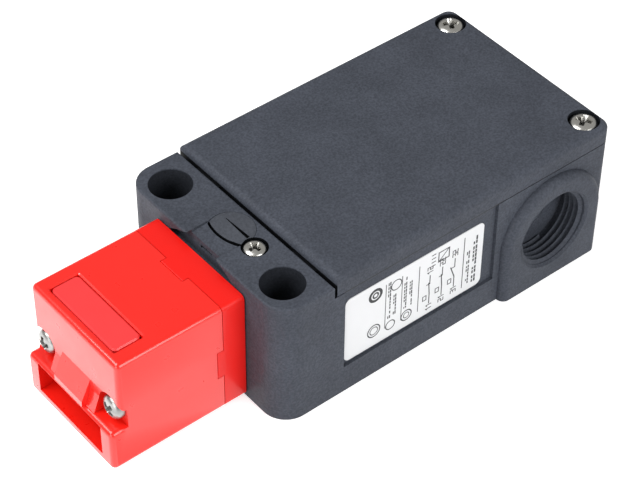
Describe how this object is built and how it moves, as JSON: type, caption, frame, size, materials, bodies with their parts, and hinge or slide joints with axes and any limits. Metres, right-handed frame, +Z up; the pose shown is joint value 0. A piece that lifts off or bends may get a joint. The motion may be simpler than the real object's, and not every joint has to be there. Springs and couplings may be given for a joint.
{
  "type": "tongue interlock switch",
  "caption": "Guard-locking tongue interlock switch with a slotted cam head, screwed cover, locking solenoid, auxiliary release and threaded conduit entries.",
  "frame": {"origin": "bottom centre of the overall box, on the mounting plane", "axes": "+X runs from the actuator head to the rear entry, +Z runs up from the mounting base to the cover, and the rating label faces -Y"},
  "size_m": [0.1332, 0.0602, 0.0362],
  "materials": {
    "charcoal_moulding": "Glass-filled charcoal-grey polymer with a fine even spark texture; edges a little shinier where handled",
    "red_enamel": "Glossy red enamel on die-cast zinc, very slight orange-peel",
    "red_plug_plastic": "Smooth red polymer plug, a little pinker than the enamel, with a satin sheen",
    "bright_screw": "Zinc-plated steel with light tool marks",
    "dark_steel": "Hardened steel, lightly oiled",
    "label_film": "Matt printed polyester film",
    "gasket_rubber": "Soft black nitrile rubber",
    "bronze_bush": "Sintered bronze",
    "contact_moulding": "Pale insulating moulding",
    "contact_metal": "Silver-faced brass strip",
    "spring_steel": "Bright spring wire",
    "bobbin_plastic": "Natural nylon",
    "coil_copper": "Enamelled copper wire under clear tape",
    "release_metal": "Charcoal-grey polymer disc, a little smoother than the housing"
  },
  "bodies": {
    "switch_body": {"housing": "charcoal_moulding", "rating_label": "label_film", "head_cap": "red_enamel", "head_base": "red_enamel", "head_seal": "gasket_rubber", "head_screws": "bright_screw", "cam_axle": "dark_steel", "rod_bush": "bronze_bush", "contact_block": "contact_moulding", "fixed_contacts": "contact_metal", "wire_clamps": "bright_screw", "terminal_screws": "bright_screw", "plunger_spring": "spring_steel", "block_screws": "bright_screw", "earth_clamp": "bright_screw", "earth_screw": "bright_screw", "solenoid_frame": "dark_steel", "coil_bobbin": "bobbin_plastic", "coil_winding": "coil_copper", "solenoid_screws": "bright_screw", "coil_terminal_block": "contact_moulding", "coil_terminal_screws": "bright_screw", "armature_spring": "spring_steel"},
    "cover": {"cover": "charcoal_moulding", "cover_gasket": "gasket_rubber", "cover_screws": "bright_screw"},
    "slot_plug": {"slot_plug": "red_plug_plastic"},
    "cam": {"cam_rotor": "dark_steel", "crank_pin": "dark_steel"},
    "plunger": {"head_plunger": "dark_steel", "push_rod": "dark_steel", "lock_collar": "dark_steel", "contact_carriage": "bobbin_plastic", "moving_contacts": "contact_metal", "contact_springs": "spring_steel", "spring_clip": "spring_steel"},
    "lock": {"armature": "dark_steel", "lock_bolt": "dark_steel", "release_link": "dark_steel"},
    "release_spindle": {"release_spindle": "dark_steel"},
    "release_cap": {"release_cap": "release_metal", "release_screw": "bright_screw"}
  },
  "joints": [
    {"name": "cover_hinge", "type": "hinge", "parent": "switch_body", "child": "cover", "pos_m": [-0.01572, 0, 0.0333], "axis": [0, -1, 0], "range_deg": [0, 45]},
    {"name": "slot_plug_slide", "type": "slide", "parent": "switch_body", "child": "slot_plug", "axis": [0, 0, 1], "range_m": [0, 0.012]},
    {"name": "cam_turn", "type": "hinge", "parent": "switch_body", "child": "cam", "pos_m": [-0.04913, 0, 0.0163], "axis": [0, -1, 0], "range_deg": [0, 60]},
    {"name": "plunger_slide", "type": "slide", "parent": "switch_body", "child": "plunger", "axis": [1, 0, 0], "range_m": [-0.004, 0], "stiffness_N_per_m": 800, "deforming": ["plunger_spring"]},
    {"name": "lock_slide", "type": "slide", "parent": "switch_body", "child": "lock", "axis": [0, 1, 0], "range_m": [0, 0.0032], "stiffness_N_per_m": 200, "deforming": ["armature_spring"]},
    {"name": "release_turn", "type": "hinge", "parent": "switch_body", "child": "release_spindle", "pos_m": [-0.02212, 0, 0.03], "axis": [0, 0, 1], "range_deg": [0, 90]},
    {"name": "release_cap_lift", "type": "slide", "parent": "switch_body", "child": "release_cap", "axis": [0, 0, 1], "range_m": [0, 0.012]}
  ],
  "couplings": [
    {"joint": "cam_turn", "follows": "plunger_slide", "rad_per_m": -261.8},
    {"joint": "release_turn", "follows": "lock_slide", "rad_per_m": 490.87}
  ]
}
